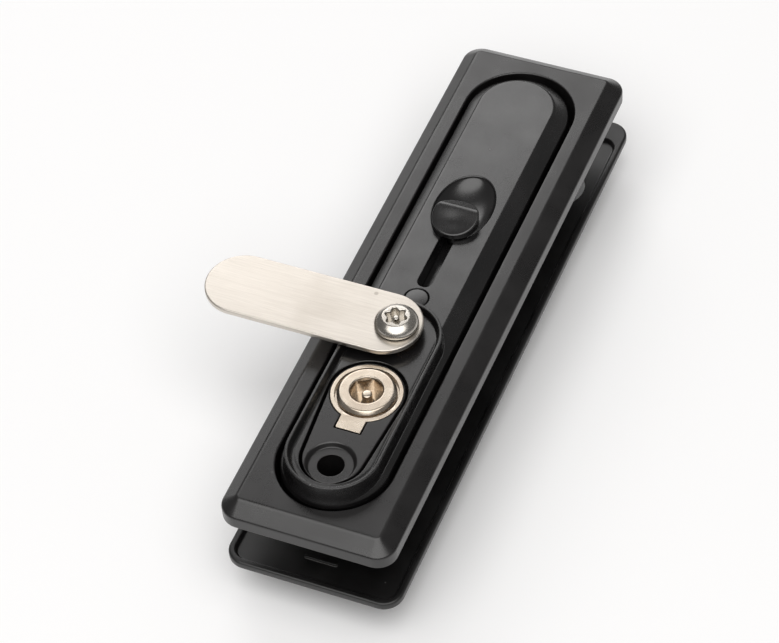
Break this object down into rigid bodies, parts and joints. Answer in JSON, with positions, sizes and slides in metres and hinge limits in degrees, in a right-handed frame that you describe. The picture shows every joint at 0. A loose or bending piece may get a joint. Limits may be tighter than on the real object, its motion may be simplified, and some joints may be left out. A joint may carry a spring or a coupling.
{
  "type": "flush swing-handle door lock",
  "caption": "Flush swing-handle door lock: chamfered black frame, lifting lever, thumb slide, swivelling dust cover, key cylinder and rear clamp plate.",
  "frame": {"origin": "centre of the door cut-out, on the door's outer face, which is the back face of the front frame", "axes": "+X across the lock to the right, +Y along the lever towards its lift hinge, +Z out of the door"},
  "size_m": [0.0657, 0.1519, 0.0389],
  "materials": {
    "black_coating": "satin black powder coat on zinc die casting and pressed steel",
    "black_gloss": "semi-gloss black coat, smoother on the bevels",
    "black_plastic": "fine matt moulded surface",
    "nickel": "bright nickel plate, lightly satin on the face",
    "stainless": "fine brushed stainless sheet with softened edges",
    "zinc_steel": "plain zinc-plated steel",
    "bronze": "sintered bronze bearing metal",
    "seal_rubber": "matt black nitrile"
  },
  "bodies": {
    "housing": {"front_frame": "black_coating", "keeper_lip": "black_coating", "rear_clamp_plate": "black_coating", "clamp_screw_1": "zinc_steel", "clamp_screw_2": "zinc_steel", "clamp_screw_3": "zinc_steel", "clamp_screw_4": "zinc_steel", "spindle": "zinc_steel", "hub_bushing": "bronze", "spindle_o_ring": "seal_rubber", "spindle_retaining_ring": "zinc_steel", "drive_cam": "zinc_steel", "drive_cam_washer": "zinc_steel", "drive_cam_screw": "zinc_steel", "key_cylinder_body": "nickel", "key_cylinder_nut": "zinc_steel"},
    "lever": {"handle_lever": "black_gloss", "lift_hinge_pin": "zinc_steel", "handle_back_cover": "black_plastic", "back_cover_screw_1": "zinc_steel", "back_cover_screw_2": "zinc_steel", "lock_catch": "zinc_steel", "lock_catch_screw": "zinc_steel", "face_plug": "black_gloss", "cover_pivot_bush": "bronze", "cover_pivot_screw": "nickel"},
    "slide": {"thumb_slide": "black_gloss", "slide_clip": "zinc_steel", "slide_bar": "black_coating"},
    "plug": {"key_plug": "nickel", "key_centre_pin": "zinc_steel", "lock_cam": "zinc_steel", "lock_cam_screw": "zinc_steel"},
    "cover": {"dust_cover": "stainless"}
  },
  "joints": [
    {"name": "handle_lift", "type": "hinge", "parent": "housing", "child": "lever", "pos_m": [0, 0.0536, 0.002], "axis": [-1, 0, 0], "range_deg": [0, 18]},
    {"name": "dust_cover_swing", "type": "hinge", "parent": "lever", "child": "cover", "pos_m": [0, -0.0202, 0.0111], "axis": [0, 0, 1], "range_deg": [0, 180]},
    {"name": "thumb_slide_travel", "type": "slide", "parent": "lever", "child": "slide", "axis": [0, -1, 0], "range_m": [0, 0.015]},
    {"name": "key_turn", "type": "hinge", "parent": "housing", "child": "plug", "pos_m": [0, -0.0378, 0], "axis": [0, 0, -1], "range_deg": [0, 90]}
  ]
}
